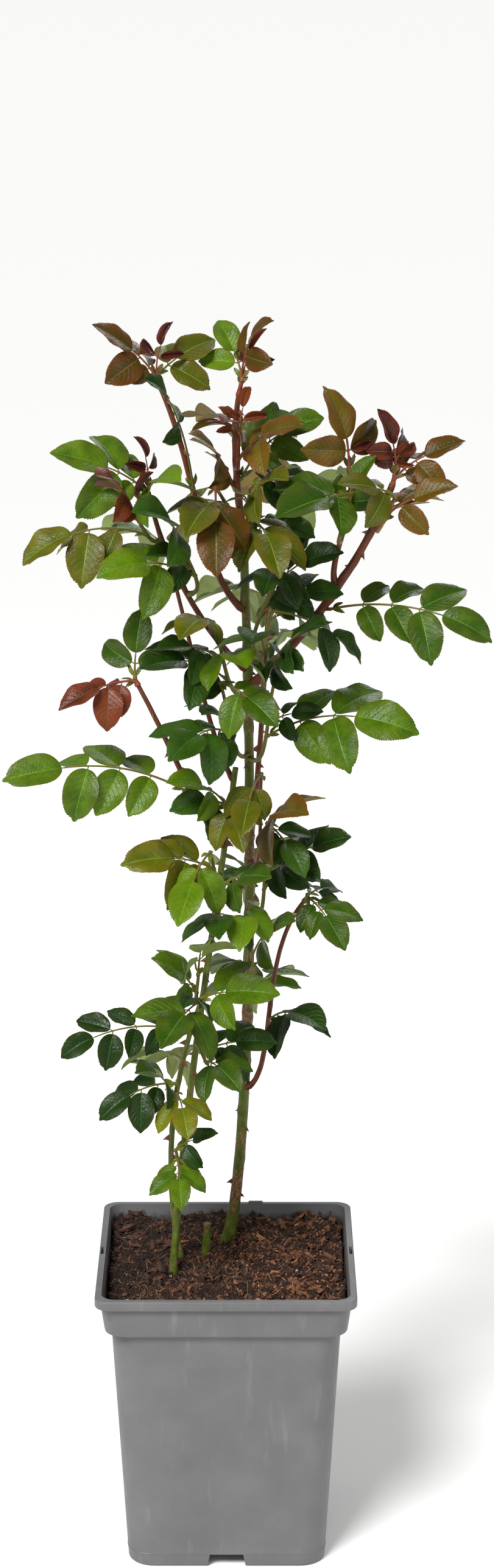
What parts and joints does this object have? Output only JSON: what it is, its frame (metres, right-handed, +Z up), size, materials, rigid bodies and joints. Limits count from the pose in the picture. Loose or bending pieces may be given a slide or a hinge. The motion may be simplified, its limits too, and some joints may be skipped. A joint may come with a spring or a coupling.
{
  "type": "potted climbing rose",
  "caption": "Climbing rose in a square nursery pot: upright thorny canes with slender boughs and compound toothed leaves, green with reddish young tips; stands on its flat underside.",
  "frame": {"origin": "middle of the pot's flat underside", "axes": "+Z up along the canes, +X to the right and +Y to the back as the plant is seen from its front"},
  "size_m": [0.3614, 0.2709, 0.9681],
  "materials": {
    "pot_plastic": "mid grey moulded plastic, satin",
    "compost": "dark brown moist compost with bark chips",
    "cane_green": "green rose bark, satin, browner near the foot",
    "cane_red": "young reddish brown rose bark, satin",
    "leaf_green": "bright green mature leaves, glossy above",
    "leaf_dark": "dark green mature leaves, glossy above",
    "leaf_olive": "olive half-grown leaves, glossy above",
    "leaf_bronze": "bronze young leaves, glossy above",
    "leaf_red": "dark red youngest leaves, glossy above"
  },
  "bodies": {
    "root": {"pot": "pot_plastic", "soil": "compost", "stem_right": "cane_green", "stem_middle": "cane_green", "stem_left": "cane_green", "stem_stub": "cane_green", "bough_top": "cane_red", "bough_top_left": "cane_red", "bough_left": "cane_red", "bough_right": "cane_red", "bough_right_side": "cane_red", "bough_left_low": "cane_red", "bough_right_low": "cane_red", "bough_back": "cane_red", "bough_back_left": "cane_red", "top_left_end": "leaf_bronze", "top_left_side": "leaf_dark", "crown_end": "leaf_bronze", "crown_right": "leaf_green", "crown_front": "leaf_bronze", "crown_left": "leaf_bronze", "right_side_end": "leaf_bronze", "right_side_low": "leaf_green", "right_end": "leaf_bronze", "right_outer": "leaf_bronze", "left_end": "leaf_green", "left_outer": "leaf_olive", "left_front": "leaf_green", "centre_top_left": "leaf_olive", "centre_top_front": "leaf_olive", "right_centre_high": "leaf_dark", "right_centre_low": "leaf_dark", "far_right": "leaf_green", "far_right_low": "leaf_green", "mid_left_high": "leaf_dark", "mid_left_low": "leaf_dark", "left_low_end": "leaf_red", "left_hanging": "leaf_green", "centre": "leaf_bronze", "centre_low": "leaf_dark", "centre_left": "leaf_green", "low_mid_left": "leaf_olive", "low_mid_front": "leaf_dark", "low_mid_right": "leaf_green", "right_low_end": "leaf_green", "right_low_side": "leaf_dark", "low_front": "leaf_green", "low_left_high": "leaf_green", "low_left_outer": "leaf_dark", "low_right": "leaf_dark", "low_left": "leaf_green", "base_front": "leaf_green", "back_end": "leaf_green", "back_side": "leaf_green", "back_left_end": "leaf_green", "back_top": "leaf_bronze", "back_right": "leaf_bronze", "back_mid": "leaf_green", "back_low": "leaf_green", "back_base": "leaf_green"}
  },
  "joints": []
}
